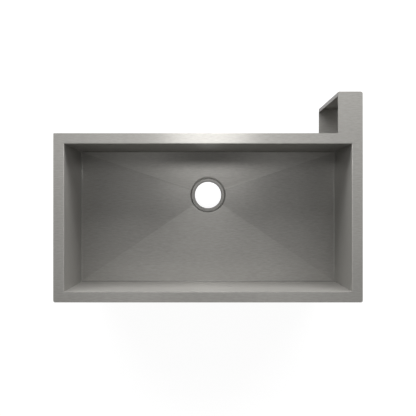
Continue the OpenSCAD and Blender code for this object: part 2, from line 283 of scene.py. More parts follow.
def make_facet_group():
    """Painted shade and painted highlight on the floor's facets and outlet, and a mask of the recess.

    The side facets and the outlet are darkened with painted shade. The rear facet is lightened with a
    painted highlight, most of all in its middle above the outlet.
    """
    group = new_group(
        "facet finish",
        [
            ("Side Depth", "NodeSocketFloat", 0.1),
            ("Rear Lift", "NodeSocketFloat", 0.1),
            ("Burnish Lift", "NodeSocketFloat", 0.2),
            ("Outlet Depth", "NodeSocketFloat", 0.2),
        ],
        [("Tone", "NodeSocketFloat"), ("Recess", "NodeSocketFloat")],
    )
    inputs = add(group, "NodeGroupInput")
    outputs = add(group, "NodeGroupOutput")
    place = add(group, "ShaderNodeSeparateXYZ")
    feed(group, place.inputs[0], add(group, "ShaderNodeTexCoord").outputs["Object"])
    aside = math_node(group, "DIVIDE", math_node(group, "ABSOLUTE", place.outputs["X"]), EDGE_X)
    beyond = math_node(group, "SUBTRACT", place.outputs["Y"], WASTE_Y)
    to_rear = math_node(group, "DIVIDE", beyond, EDGE_Y - WASTE_Y)
    to_front = math_node(group, "DIVIDE", beyond, -EDGE_Y - WASTE_Y)
    ahead = math_node(group, "MAXIMUM", to_rear, to_front)
    # Painted shade on the side facets and on the outlet.
    on_side = math_node(group, "GREATER_THAN", aside, ahead)
    side_shade = math_node(group, "MULTIPLY", on_side, inputs.outputs["Side Depth"])
    across = math_node(group, "MULTIPLY", place.outputs["X"], place.outputs["X"])
    squared = math_node(group, "MULTIPLY_ADD", beyond, beyond, across)
    in_outlet = math_node(group, "LESS_THAN", squared, (LEDGE_RADIUS + RECESS_FOOT) ** 2)
    outlet_shade = math_node(group, "MULTIPLY", in_outlet, inputs.outputs["Outlet Depth"])
    shade = math_node(group, "MAXIMUM", side_shade, outlet_shade)
    # Painted highlight on the rear facet outside the outlet, strongest in its middle just above the outlet.
    on_rear = math_node(group, "GREATER_THAN", to_rear, aside)
    above_outlet = math_node(group, "SUBTRACT", on_rear, math_node(group, "MULTIPLY", on_rear, in_outlet))
    centred = ramp(group, aside, *BURNISH_ACROSS)
    burnished = math_node(group, "MULTIPLY", centred, ramp(group, to_rear, *BURNISH_BACK))
    burnish = math_node(group, "MULTIPLY", burnished, inputs.outputs["Burnish Lift"])
    rise = math_node(group, "ADD", burnish, inputs.outputs["Rear Lift"])
    lift = math_node(group, "MULTIPLY_ADD", above_outlet, rise, 1.0)
    feed(group, outputs.inputs["Tone"], math_node(group, "SUBTRACT", lift, shade))
    feed(group, outputs.inputs["Recess"], math_node(group, "LESS_THAN", squared, RECESS_REACH**2))
    return group


def make_bend_group():
    """Painted shade on the long bends that turn between facing up and facing front or back, darkest halfway
    round, which dims their highlights.
    """
    group = new_group("bend finish", [("Depth", "NodeSocketFloat", 0.4)], [("Tone", "NodeSocketFloat")])
    inputs = add(group, "NodeGroupInput")
    outputs = add(group, "NodeGroupOutput")
    facing = add(group, "ShaderNodeSeparateXYZ")
    feed(group, facing.inputs[0], add(group, "ShaderNodeTexCoord").outputs["Normal"])
    sloped = math_node(group, "MULTIPLY", facing.outputs["Y"], facing.outputs["Z"])
    halfway = math_node(group, "MULTIPLY", math_node(group, "MULTIPLY", sloped, sloped), 4.0)
    dulled = math_node(group, "MULTIPLY", halfway, inputs.outputs["Depth"])
    feed(group, outputs.inputs["Tone"], math_node(group, "SUBTRACT", 1.0, dulled))
    return group


grain_group = make_grain_group()
bend_group = make_bend_group()
handling_group = make_handling_group()
outside_group = make_outside_group()
facet_group = make_facet_group()


def place_group(tree, group, **values):
    """A group's node in a material, with its own values."""
    node = add(tree, "ShaderNodeGroup")
    node.node_tree = group
    for label, value in values.items():
        feed(tree, node.inputs[label.replace("_", " ").title()], value)
    return node


def new_material(name):
    """A material with its node tree and its Principled shader."""
    material = bpy.data.materials.new(name)
    material.use_nodes = True
    return material, material.node_tree, material.node_tree.nodes["Principled BSDF"]


def roughen(tree, shader, height, depth, strength):
    """Feeds a height to the shader's normal as a bump of the given depth."""
    node = add(tree, "ShaderNodeBump")
    node.inputs["Strength"].default_value = strength
    node.inputs["Distance"].default_value = depth
    feed(tree, node.inputs["Height"], height)
    feed(tree, shader.inputs["Normal"], node.outputs[0])


def sheet_steel(name, middle, facets=False):
    """Stainless sheet, brushed where it faces its body's middle or up, and mill-rolled outside, with painted
    shade on bends that turn between up and front or back and, with facets, painted shade and highlight on
    the floor.
    """
    material, tree, shader = new_material(name)
    shader.inputs["Anisotropic"].default_value = STEEL_ANISOTROPY
    grain = place_group(tree, grain_group, tone_depth=GRAIN_TONE, roughness_depth=GRAIN_ROUGHNESS)
    handling = place_group(tree, handling_group, depth=HANDLING_TONE, patch_size=HANDLING_PATCH)
    outside = place_group(tree, outside_group, middle=middle)
    place = add(tree, "ShaderNodeTexCoord")
    rolled = noise(tree, place.outputs["Object"], [ROLLED_GRIT] * 3, 4.0, 0.7)
    # Painted shade on the bends that turn between up and front or back, dimming their highlights.
    bends = place_group(tree, bend_group, depth=BEND_DULLNESS)
    brushed_tone = math_node(tree, "MULTIPLY", grain.outputs["Tone"], handling.outputs["Tone"])
    brushed_tone = math_node(tree, "MULTIPLY", brushed_tone, bends.outputs["Tone"])
    # With facets, painted shade darkens the side facets and the outlet, and a painted highlight lightens the
    # rear facet.
    if facets:
        finish = place_group(
            tree, facet_group, side_depth=SIDE_FACET_DEPTH, rear_lift=REAR_FACET_LIFT,
            burnish_lift=BURNISH_LIFT, outlet_depth=OUTLET_DEPTH,
        )
        brushed_tone = math_node(tree, "MULTIPLY", brushed_tone, finish.outputs["Tone"])
        recess = finish.outputs["Recess"]
        # Inside the outlet's recess the bends get no painted shade.
        dullness = math_node(tree, "MULTIPLY_ADD", recess, -BEND_DULLNESS, BEND_DULLNESS)
        feed(tree, bends.inputs["Depth"], dullness)
    metallic = mix_value(tree, outside.outputs["Mask"], STEEL_METALLIC, MILL_METALLIC)
    feed(tree, shader.inputs["Metallic"], metallic)
    rolled_tone = ramp(tree, rolled, *NOISE_SPREAD, 1 - ROLLED_TONE, 1 + ROLLED_TONE)
    brushed = mix_colour(tree, 1.0, STEEL_COLOUR, brushed_tone, "MULTIPLY")
    mill = mix_colour(tree, 1.0, MILL_COLOUR, rolled_tone, "MULTIPLY")
    feed(tree, shader.inputs["Base Color"], mix_colour(tree, outside.outputs["Mask"], brushed, mill))
    brushed_roughness = math_node(tree, "MULTIPLY", grain.outputs["Roughness"], STEEL_ROUGHNESS)
    smoothest = MILL_ROUGHNESS - ROLLED_ROUGHNESS
    roughest = MILL_ROUGHNESS + ROLLED_ROUGHNESS
    mill_roughness = ramp(tree, rolled, *NOISE_SPREAD, smoothest, roughest)
    roughness = mix_value(tree, outside.outputs["Mask"], brushed_roughness, mill_roughness)
    feed(tree, shader.inputs["Roughness"], roughness)
    sideways = sideways_mask(tree, place.outputs["Normal"])
    line = add(tree, "ShaderNodeCombineXYZ")
    feed(tree, line.inputs["X"], math_node(tree, "SUBTRACT", 1.0, sideways))
    feed(tree, line.inputs["Y"], sideways)
    across = add(tree, "ShaderNodeVectorMath", operation="CROSS_PRODUCT")
    feed(tree, across.inputs[0], place.outputs["Normal"])
    feed(tree, across.inputs[1], line.outputs[0])
    feed(tree, shader.inputs["Tangent"], across.outputs[0])
    roughen(tree, shader, grain.outputs["Height"], GRAIN_RELIEF, 0.1)
    return material


def new_piece(name, build, material, body):
    """A mesh object that build fills in, with its material, riding on a body."""
    mesh = bpy.data.meshes.new(name)
    form = bmesh.new()
    build(form)
    bmesh.ops.recalc_face_normals(form, faces=form.faces)
    form.to_mesh(mesh)
    form.free()
    mesh.materials.append(material)
    piece = bpy.data.objects.new(name, mesh)
    bpy.context.scene.collection.objects.link(piece)
    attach(piece, body)
    return piece


def shade_by_area(piece):
    """Keeps flat faces flat beside small rounded ones."""
    piece.modifiers.new("shading by area", "WEIGHTED_NORMAL").keep_sharp = True


def join_rings(form, ring, following):
    """A smooth band of four-sided faces between two closed rings of vertices."""
    for place in range(len(ring)):
        step = (place + 1) % len(ring)
        form.faces.new((ring[place], ring[step], following[step], following[place])).smooth = True


def floor_directions():
    """Directions from the waste's centre, each with whether it lies on a crease."""
    corners = sorted(
        math.atan2(y - WASTE_Y, x) % math.tau for x in (-EDGE_X, EDGE_X) for y in (-EDGE_Y, EDGE_Y)
    )
    directions = []
    for start, end in zip(corners, corners[1:] + [corners[0] + math.tau]):
        parts = math.ceil((end - start) / FACET_STEP)
        directions += [(start + (end - start) * part / parts, part == 0) for part in range(parts)]
    return directions


def reach_to_edge(angle):
    """Distance from the waste's centre to the floor's edge, and whether that edge is a side."""
    side = EDGE_X / max(abs(math.cos(angle)), 1e-9)
    end = EDGE_Y - WASTE_Y if math.sin(angle) > 0 else EDGE_Y + WASTE_Y
    end /= max(abs(math.sin(angle)), 1e-9)
    return min(side, end), side < end


def arc(centre, radius, start, end, parts, into):
    """Points on an arc in a section, each with the direction into the sheet."""
    points = []
    for part in range(parts + 1):
        angle = start + (end - start) * part / parts
        way = Vector((math.cos(angle), math.sin(angle)))
        points.append((Vector(centre) + radius * way, into * way))
    return points


def outlet_profile(rise_rate):
    """Section of the outlet, from the collar's foot up to the facet, with directions into it."""
    bend = (WASTE_RADIUS + LIP_RADIUS, LEDGE_HEIGHT - LIP_RADIUS)
    foot = (LEDGE_RADIUS, LEDGE_HEIGHT + RECESS_FOOT)
    points = [(Vector((WASTE_RADIUS, bend[1] - COLLAR_HEIGHT)), Vector((1, 0)))]
    points += arc(bend, LIP_RADIUS, math.pi, math.pi / 2, LIP_PARTS, -1)
    points += arc(foot, RECESS_FOOT, -math.pi / 2, -RECESS_LEAN, FOOT_PARTS, 1)
    up = Vector((math.sin(RECESS_LEAN), math.cos(RECESS_LEAN)))
    slope = math.atan(rise_rate)
    out = Vector((math.cos(slope), math.sin(slope)))
    toe_run = RECESS_FOOT * math.tan((math.pi / 2 - RECESS_LEAN) / 2)
    toe = Vector((LEDGE_RADIUS + toe_run, LEDGE_HEIGHT))
    climb = (FACET_HEIGHT + rise_rate * toe[0] - toe[1]) / (up[1] - rise_rate * up[0])
    corner = toe + climb * up
    opening = math.pi / 2 + RECESS_LEAN + slope
    middle = corner + (out - up).normalized() * RECESS_EDGE / math.sin(opening / 2)
    points += arc(middle, RECESS_EDGE, math.pi - RECESS_LEAN, math.pi / 2 + slope, BEND_PARTS, -1)
    last, into = points[-1]
    return points + [(last + FACET_START * out, into)]


def floor_column(angle):
    """Upper and lower points of the floor in one direction from the waste's centre."""
    reach, on_side = reach_to_edge(angle)
    way = Vector((math.cos(angle), math.sin(angle)))
    waste = Vector((0.0, WASTE_Y))
    edge = waste + reach * way
    profile = outlet_profile(FLOOR_FALL / reach)
    faces = []
    for thickness in (0.0, SHEET):
        points = []
        for point, into in profile:
            section = point + thickness * into
            plan = waste + section[0] * way
            points.append(Vector((plan[0], plan[1], section[1])))
        far = Vector((edge[0], edge[1], SEAM_HEIGHT - FLOOR_BEND - thickness))
        points.append(points[-1].lerp(far, FACET_END))
        for part in range(BEND_PARTS + 1):
            turn = math.pi / 2 * part / BEND_PARTS
            run = (FLOOR_BEND + thickness) * math.sin(turn)
            height = SEAM_HEIGHT - (FLOOR_BEND + thickness) * math.cos(turn)
            if on_side:
                x = math.copysign(EDGE_X + run, edge[0])
                y = edge[1] * (EDGE_Y + run) / EDGE_Y
            else:
                x = edge[0] * (EDGE_X + run) / EDGE_X
                y = math.copysign(EDGE_Y + run, edge[1])
            points.append(Vector((x, y, height)))
        faces.append(points)
    return faces[0] + faces[1][::-1]


def build_floor(form):
    """The floor as columns round the waste, joined and creased between the facets."""
    directions = floor_directions()
    columns = [[form.verts.new(point) for point in floor_column(angle)] for angle, _ in directions]
    count = len(columns[0])
    half = count // 2
    facet_points = 2
    crease_start = half - (BEND_PARTS + 1) - facet_points
    for index, column in enumerate(columns):
        following = columns[(index + 1) % len(columns)]
        on_crease = directions[index][1]
        join_rings(form, column, following)
        for place in (0, half - 1, half, count - 1):
            form.edges.get((column[place], following[place])).smooth = False
        for place in range(count - 1):
            from_outlet = min(place, count - 2 - place)
            if on_crease and crease_start <= from_outlet < half - 1:
                form.edges.get((column[place], column[place + 1])).smooth = False


# The floor's steel carries the painted facet shade and highlight.
floor_steel = sheet_steel("brushed stainless floor", (0.0, 0.0, 0.0), facets=True)
bowl_floor = new_piece("bowl_floor", build_floor, floor_steel, "sink")
shade_by_area(bowl_floor)
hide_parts("floor_pan")

# Walls and rim. Four folded panels of the same sheet, each a wall with its strip of rim,
# mitred at the ends, welded in the corners and ground flush there on the brushed side.
nodes = frame["nodes"]
bowl_steel = sheet_steel("brushed stainless bowl", (0.0, 0.0, 0.0))
for name in ("front_panel", "rear_panel", "left_panel", "right_panel"):
    nodes[name].data.materials[0] = bowl_steel

# Rear channel. A top plate in the rim's plane, a wrap folded from one sheet that leaves
# the left side open, a front plate against the bowl and a base, all butt welded.
channel_low, channel_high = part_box("channel_wrap")
channel_middle = ((channel_low[0] + channel_high[0]) / 2, (channel_low[1] + channel_high[1]) / 2, 0.0)
channel_steel = sheet_steel("brushed stainless channel", channel_middle)
for name in ("channel_top", "channel_wrap", "channel_front", "channel_base"):
    nodes[name].data.materials[0] = channel_steel

# Weld beads. Each outer corner of the bowl, and the joint between its floor and walls,
# is closed by a run of overlapping weld ripples that stays unground on the hidden side.
BEAD_WIDTH = 0.0036
BEAD_HEIGHT = 0.0009
BEAD_ROOT = 0.0003
BEAD_PARTS = 6
BEAD_END_SCALE = 0.5
RIPPLE_PITCH = 0.0024
RIPPLE_SCALES = (1.0, 0.93, 0.82)
RIM_CLEARANCE = 0.006
TINT_PATCH = 0.012
WELD_GRIT = 0.0006
WELD_RELIEF = 0.0001
WELD_METALLIC = 0.9
WELD_ROUGHNESS = (0.30, 0.46)
WELD_COLOUR = (0.36, 0.35, 0.34, 1.0)
STRAW_COLOUR = (0.42, 0.33, 0.20, 1.0)
STRAW_BAND = (0.35, 0.55)
BLUE_COLOUR = (0.20, 0.22, 0.30, 1.0)
BLUE_BAND = (0.55, 0.70)
OUTER_X = BOWL_HALF_X + SHEET
OUTER_Y = BOWL_HALF_Y + SHEET


def weld_steel():
    """Weld metal with the straw and blue tints that its heat leaves."""
    material, tree, shader = new_material("weld bead steel")
    shader.inputs["Metallic"].default_value = WELD_METALLIC
    place = add(tree, "ShaderNodeTexCoord")
    patches = noise(tree, place.outputs["Object"], [TINT_PATCH] * 3, 3.0)
    straw = mix_colour(tree, ramp(tree, patches, *STRAW_BAND), WELD_COLOUR, STRAW_COLOUR)
    tint = mix_colour(tree, ramp(tree, patches, *BLUE_BAND), straw, BLUE_COLOUR)
    feed(tree, shader.inputs["Base Color"], tint)
    grit = noise(tree, place.outputs["Object"], [WELD_GRIT] * 3, 3.0, 0.6)
    feed(tree, shader.inputs["Roughness"], ramp(tree, grit, *NOISE_SPREAD, *WELD_ROUGHNESS))
    roughen(tree, shader, grit, WELD_RELIEF, 0.5)
    return material


def add_bead(form, path, outs):
    """A flattened half-round run of ripples along a path, standing out along outs."""
    reached = [0.0]
    for first, second in zip(path, path[1:]):
        reached.append(reached[-1] + (second - first).length)
    count = int(reached[-1] / RIPPLE_PITCH * len(RIPPLE_SCALES))
    rings = []
    leg = 0
    for number in range(count + 1):
        travelled = reached[-1] * number / count
        while leg < len(path) - 2 and travelled > reached[leg + 1]:
            leg += 1
        share = (travelled - reached[leg]) / (reached[leg + 1] - reached[leg])
        middle = path[leg].lerp(path[leg + 1], share)
        out = outs[leg].lerp(outs[leg + 1], share).normalized()
        across = (path[leg + 1] - path[leg]).normalized().cross(out).normalized()
        scale = RIPPLE_SCALES[number % len(RIPPLE_SCALES)]
        if number in (0, count):
            scale *= BEAD_END_SCALE
        ring = []
        for part in range(BEAD_PARTS + 1):
            turn = math.pi * part / BEAD_PARTS
            wide = across * math.cos(turn) * BEAD_WIDTH / 2 * scale
            high = out * (math.sin(turn) * (BEAD_HEIGHT + BEAD_ROOT) * scale - BEAD_ROOT)
            ring.append(form.verts.new(middle + wide + high))
        rings.append(ring)
    for ring, following in zip(rings, rings[1:]):
        join_rings(form, ring, following)
    form.faces.new(rings[0])
    form.faces.new(rings[-1])


def corner_run(side_x, side_y):
    """Path of a corner's bead: down the wall's corner and in along the floor's mitre."""
    path = [Vector((side_x * OUTER_X, side_y * OUTER_Y, height)) for height in (-RIM_CLEARANCE, SEAM_HEIGHT)]
    outs = [Vector((side_x, side_y, 0.0)).normalized()] * 2
    for part in range(1, BEND_PARTS + 1):
        turn = math.pi / 2 * (1 - part / BEND_PARTS)
        run = (FLOOR_BEND + SHEET) * math.sin(turn)
        height = SEAM_HEIGHT - (FLOOR_BEND + SHEET) * math.cos(turn)
        path.append(Vector((side_x * (EDGE_X + run), side_y * (EDGE_Y + run), height)))
        outs.append(Vector((side_x * math.sin(turn), side_y * math.sin(turn), -math.cos(turn))).normalized())
    return path, outs


def build_bowl_beads(form):
    """Beads down the free corners and round the seam, as far as the channel leaves them."""
    for side_x, side_y in ((-1, -1), (1, -1), (-1, 1)):
        add_bead(form, *corner_run(side_x, side_y))
    for side in (-1, 1):
        end_x = OUTER_X if side < 0 else channel_low[0]
        along_x = [Vector((x, side * OUTER_Y, SEAM_HEIGHT)) for x in (-OUTER_X, end_x)]
        add_bead(form, along_x, [Vector((0, side, 0))] * 2)
        along_y = [Vector((side * OUTER_X, y, SEAM_HEIGHT)) for y in (-OUTER_Y, OUTER_Y)]
        add_bead(form, along_y, [Vector((side, 0, 0))] * 2)


def build_channel_beads(form):
    """Beads in the two corners where the channel meets the bowl."""
    for x, turn in ((channel_low[0], (-1, 1, 0)), (OUTER_X, (1, -1, 0))):
        path = [Vector((x, OUTER_Y, height)) for height in (-RIM_CLEARANCE, SEAM_HEIGHT)]
        add_bead(form, path, [Vector(turn).normalized()] * 2)


weld_metal = weld_steel()
new_piece("bowl_weld_beads", build_bowl_beads, weld_metal, "sink")
new_piece("channel_weld_beads", build_channel_beads, weld_metal, "sink")

# Sound pads. Slabs of heavy rubber with rounded corners and edges, stuck to the underside
# of the floor, where they follow its facets, and to the outside of the four walls.
PAD_CORNER = 0.015
PAD_CORNER_PARTS = 8
PAD_EDGE = 0.0012
PAD_EDGE_PARTS = 4
PAD_FACE_START = 0.001
PAD_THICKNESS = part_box("wall_pad_rear")[1][1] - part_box("wall_pad_rear")[0][1]
SAME_POINT = 1e-6
PEBBLES_PER_METRE = 620.0
PEBBLE_RELIEF = 0.0003
# Painted shade in the dips between the pebbles.
HOLLOW_BAND = (0.1, 0.7)
HOLLOW_TONE = 0.7
PAD_SPECULAR = 0.35
PAD_ROUGHNESS = (0.55, 0.8)
PAD_COLOUR = (0.022, 0.022, 0.024, 1.0)
DUST_COLOUR = (0.075, 0.072, 0.066, 1.0)
DUST_PATCH = 0.06
DUST_BAND = (0.45, 0.75)
DUST_COVER = 0.2


def rubber():
    """Matt moulded rubber: pebbled, with painted shade in the dips between its pebbles, and dusty in
    patches.
    """
    material, tree, shader = new_material("sound-deadening rubber")
    shader.inputs["Specular IOR Level"].default_value = PAD_SPECULAR
    place = add(tree, "ShaderNodeTexCoord")
    pebbles = add(tree, "ShaderNodeTexVoronoi", feature="SMOOTH_F1")
    pebbles.inputs["Scale"].default_value = PEBBLES_PER_METRE
    feed(tree, pebbles.inputs["Vector"], place.outputs["Object"])
    dust = noise(tree, place.outputs["Object"], [DUST_PATCH] * 3, 4.0, 0.65)
    dusty = mix_colour(tree, ramp(tree, dust, *DUST_BAND, 0.0, DUST_COVER), PAD_COLOUR, DUST_COLOUR)
    # Painted shade in the dips between the pebbles.
    hollow = ramp(tree, pebbles.outputs["Distance"], *HOLLOW_BAND, 1.0, HOLLOW_TONE)
    feed(tree, shader.inputs["Base Color"], mix_colour(tree, 1.0, dusty, hollow, "MULTIPLY"))
    feed(tree, shader.inputs["Roughness"], ramp(tree, dust, *NOISE_SPREAD, *PAD_ROUGHNESS))
    raised = math_node(tree, "SUBTRACT", 1.0, pebbles.outputs["Distance"])
    roughen(tree, shader, raised, PEBBLE_RELIEF, 0.4)
    return material


def rounded_ring(form, low, high, inset, height):
    """Vertices round a rectangle with the pad's corner radius, drawn in by inset."""
    ring = []
    radius = PAD_CORNER - inset
    centres = (
        (high[0] - PAD_CORNER, high[1] - PAD_CORNER),
        (low[0] + PAD_CORNER, high[1] - PAD_CORNER),
        (low[0] + PAD_CORNER, low[1] + PAD_CORNER),
        (high[0] - PAD_CORNER, low[1] + PAD_CORNER),
    )
    for quarter, (x, y) in enumerate(centres):
        for part in range(PAD_CORNER_PARTS + 1):
            turn = math.pi / 2 * (quarter + part / PAD_CORNER_PARTS)
            ring.append(form.verts.new((x + radius * math.cos(turn), y + radius * math.sin(turn), height)))
    return ring


def add_slab(form, low, high):
    """A slab with rounded corners and a rounded outer edge, standing on height 0."""
    levels = [(0.0, 0.0)]
    for part in range(PAD_EDGE_PARTS + 1):
        turn = math.pi / 2 * part / PAD_EDGE_PARTS
        levels.append((PAD_EDGE * (1 - math.cos(turn)), PAD_THICKNESS - PAD_EDGE * (1 - math.sin(turn))))
    levels.append((PAD_EDGE + PAD_FACE_START, PAD_THICKNESS))
    rings = [rounded_ring(form, low, high, inset, height) for inset, height in levels]
    for ring, following in zip(rings, rings[1:]):
        join_rings(form, ring, following)
    form.faces.new(rings[0])
    form.faces.new(rings[-1]).smooth = True
    for place in range(len(rings[0])):
        form.edges.get((rings[0][place - 1], rings[0][place])).smooth = False


def facet_rise(x, y):
    """Height of the floor's upper face above the point where its facets would meet."""
    reach_y = EDGE_Y - WASTE_Y if y > WASTE_Y else EDGE_Y + WASTE_Y
    return FLOOR_FALL * max(abs(x) / EDGE_X, abs(y - WASTE_Y) / reach_y)


def build_floor_pad(form, low, high):
    """A slab cut along the floor's creases and laid under its facets."""
    add_slab(form, low, high)
    waste = Vector((0.0, WASTE_Y, 0.0))
    for x, y in ((EDGE_X, EDGE_Y), (-EDGE_X, EDGE_Y), (-EDGE_X, -EDGE_Y), (EDGE_X, -EDGE_Y)):
        crease = Vector((x, y, 0.0)) - waste
        across = crease.cross(Vector((0, 0, 1)))
        geometry = form.verts[:] + form.edges[:] + form.faces[:]
        bmesh.ops.bisect_plane(form, geom=geometry, plane_co=waste, plane_no=across, dist=SAME_POINT)
    for vert in form.verts:
        vert.co.z = FACET_HEIGHT + facet_rise(vert.co.x, vert.co.y) - SHEET - vert.co.z


def wall_pad_stand(middle, turn):
    """Stands a slab on its edge, its outer face turned to the given side."""
    stand = Matrix.Translation(middle) @ Matrix.Rotation(turn, 4, "Z")
    return stand @ Matrix.Translation((0, -PAD_THICKNESS / 2, 0)) @ Matrix.Rotation(-math.pi / 2, 4, "X")


pad_rubber = rubber()
for name, turn in (
    ("wall_pad_rear", 0.0),
    ("wall_pad_front", math.pi),
    ("wall_pad_left", math.pi / 2),
    ("wall_pad_right", -math.pi / 2),
):
    low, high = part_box(name)
    along = 0 if name in ("wall_pad_rear", "wall_pad_front") else 1
    corner = ((high[along] - low[along]) / 2, (high[2] - low[2]) / 2)
    pad = new_piece(
        name + "_rubber",
        lambda form: add_slab(form, (-corner[0], -corner[1]), corner),
        pad_rubber, "sink",
    )
    pad.data.transform(wall_pad_stand((Vector(low) + Vector(high)) / 2, turn))
    shade_by_area(pad)
    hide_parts(name)
for name in ("floor_pad_left", "floor_pad_right", "floor_pad_front"):
    low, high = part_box(name)
    pad = new_piece(
        name + "_rubber",
        lambda form: build_floor_pad(form, low, high),
        pad_rubber, "sink",
    )
    shade_by_area(pad)
    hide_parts(name)

# Weld studs. Ten threaded studs of stainless steel, each stood on the underside of the rim
# with a small flange and fused there by one pulse of current, which leaves a burnt ring.
joints = frame["record"]["behaviour"]["joints"]
stud_places = [Vector(joint["pos_m"]) for joint in joints]
CLIP_TOP = stud_places[0].z
STUD_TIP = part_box("rim_studs")[0][2]
STUD_RADIUS = 0.003
STUD_SIDES = 24
FLANGE_RADIUS = 0.0045
FLANGE_HEIGHT = 0.001
FLANGE_EDGE = 0.0003
FLANGE_GAP = 0.00001
THREAD_PITCH = 0.001
THREAD_DEPTH = 0.00055
THREAD_LENGTH = 0.0042
THREAD_ROWS = 8
THREAD_FLANK = 1.6
THREAD_CREST = 0.3
THREAD_END = 0.0001
SHANK_START = 0.0006
TIP_CHAMFER = 0.0007
TURNING_MARKS = (0.0015, 0.0015, 0.0004)
TURNING_RELIEF = 0.00005
STUD_ROUGHNESS = (0.22, 0.38)
STUD_DARK = (0.52, 0.51, 0.49, 1.0)
STUD_LIGHT = (0.62, 0.61, 0.59, 1.0)
BURNT_COLOUR = (0.22, 0.16, 0.12, 1.0)
BURNT_COVER = 0.8


def bright_steel():
    """Bright stainless: fine turning marks, and a burnt tint where the flange was fused."""
    material, tree, shader = new_material("bright stud steel")
    shader.inputs["Metallic"].default_value = 1.0
    place = add(tree, "ShaderNodeTexCoord")
    height = add(tree, "ShaderNodeSeparateXYZ")
    feed(tree, height.inputs[0], place.outputs["Object"])
    speckle = noise(tree, place.outputs["Object"], TURNING_MARKS, 3.0, 0.6)
    burnt_from = CLIP_TOP + FLANGE_EDGE
    burnt = ramp(tree, height.outputs["Z"], burnt_from, CLIP_TOP + FLANGE_HEIGHT, 0.0, BURNT_COVER)
    clean = mix_colour(tree, speckle, STUD_DARK, STUD_LIGHT)
    feed(tree, shader.inputs["Base Color"], mix_colour(tree, burnt, clean, BURNT_COLOUR))
    feed(tree, shader.inputs["Roughness"], ramp(tree, speckle, *NOISE_SPREAD, *STUD_ROUGHNESS))
    roughen(tree, shader, speckle, TURNING_RELIEF, 0.4)
    return material


def circle_of(form, centre, radius_at, height, sides):
    """A ring of vertices whose radius may change with the angle."""
    ring = []
    for side in range(sides):
        turn = math.tau * side / sides
        radius = radius_at(turn)
        place = centre + Vector((radius * math.cos(turn), radius * math.sin(turn), height))
        ring.append(form.verts.new(place))
    return ring


def thread_radius(height, turn):
    """Radius of a helical thread with flat crests and roots."""
    phase = (height / THREAD_PITCH - turn / math.tau) % 1.0
    depth = min(max(abs(2 * phase - 1) * THREAD_FLANK - THREAD_CREST, 0.0), 1.0)
    return STUD_RADIUS - THREAD_DEPTH * depth


def build_studs(form):
    """Every stud as rings from its tip up: the thread, the plain shank and the flange."""
    rows = int(THREAD_LENGTH / THREAD_PITCH * THREAD_ROWS)
    shank = [
        (STUD_RADIUS - THREAD_DEPTH, STUD_TIP + THREAD_LENGTH + THREAD_END),
        (STUD_RADIUS, STUD_TIP + THREAD_LENGTH + SHANK_START),
        (STUD_RADIUS, CLIP_TOP - FLANGE_GAP),
        (FLANGE_RADIUS - FLANGE_EDGE, CLIP_TOP),
        (FLANGE_RADIUS, CLIP_TOP + FLANGE_EDGE),
        (FLANGE_RADIUS, CLIP_TOP + FLANGE_HEIGHT),
    ]
    for place in stud_places:
        centre = Vector((place.x, place.y, 0.0))
        rings = []
        for row in range(rows + 1):
            rise = THREAD_LENGTH * row / rows
            limit = STUD_RADIUS - TIP_CHAMFER + rise
            rings.append(circle_of(
                form, centre, lambda turn: min(thread_radius(rise, turn), limit), STUD_TIP + rise, STUD_SIDES
            ))
        for radius, height in shank:
            rings.append(circle_of(form, centre, lambda turn: radius, height, STUD_SIDES))
        for ring, following in zip(rings, rings[1:]):
            join_rings(form, ring, following)
        form.faces.new(rings[0])
        form.faces.new(rings[-1])


studs = new_piece("rim_stud_set", build_studs, bright_steel(), "sink")
shade_by_area(studs)
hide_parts("rim_studs")

# Swing clips. Pressed from zinc-plated strip: a flat top with both edges folded down, a
# hole for the stud at one end and one for the worktop's screw at the other.
STRIP_COLOUR = (0.56, 0.57, 0.58, 1.0)
STRAW_CAST = (0.60, 0.58, 0.50, 1.0)
CAST_PATCH = 0.018
CAST_BAND = (0.35, 0.65)
CRYSTALS_PER_METRE = 380.0
CRYSTAL_TONES = (0.90, 1.06)
PLATING_PATCH = 0.02
PLATING_TONE = 0.2
PLATING_GRIT = 0.0008
PLATING_RELIEF = 0.00006
PLATING_ROUGHNESS = (0.28, 0.42)
TUMBLED_EDGE = 0.00025
TUMBLED_ANGLE = math.radians(50)


def zinc_plate(name, colour):
    """Zinc plating: soft crystals, a faint straw cast in places, and handling marks."""
    material, tree, shader = new_material(name)
    shader.inputs["Metallic"].default_value = 1.0
    place = add(tree, "ShaderNodeTexCoord")
    crystals = add(tree, "ShaderNodeTexVoronoi", feature="F1")
    crystals.inputs["Scale"].default_value = CRYSTALS_PER_METRE
    feed(tree, crystals.inputs["Vector"], place.outputs["Object"])
    shade = add(tree, "ShaderNodeSeparateColor")
    feed(tree, shade.inputs[0], crystals.outputs["Color"])
    spangle = ramp(tree, shade.outputs[0], 0.0, 1.0, *CRYSTAL_TONES)
    cast = noise(tree, place.outputs["Object"], [CAST_PATCH] * 3, 3.0)
    tinted = mix_colour(tree, ramp(tree, cast, *CAST_BAND), colour, STRAW_CAST)
    handling = place_group(tree, handling_group, depth=PLATING_TONE, patch_size=PLATING_PATCH)
    tone = math_node(tree, "MULTIPLY", spangle, handling.outputs["Tone"])
    feed(tree, shader.inputs["Base Color"], mix_colour(tree, 1.0, tinted, tone, "MULTIPLY"))
    feed(tree, shader.inputs["Roughness"], ramp(tree, shade.outputs[0], 0.0, 1.0, *PLATING_ROUGHNESS))
    fine = noise(tree, place.outputs["Object"], [PLATING_GRIT] * 3, 3.0, 0.6)
    roughen(tree, shader, fine, PLATING_RELIEF, 0.35)
    return material


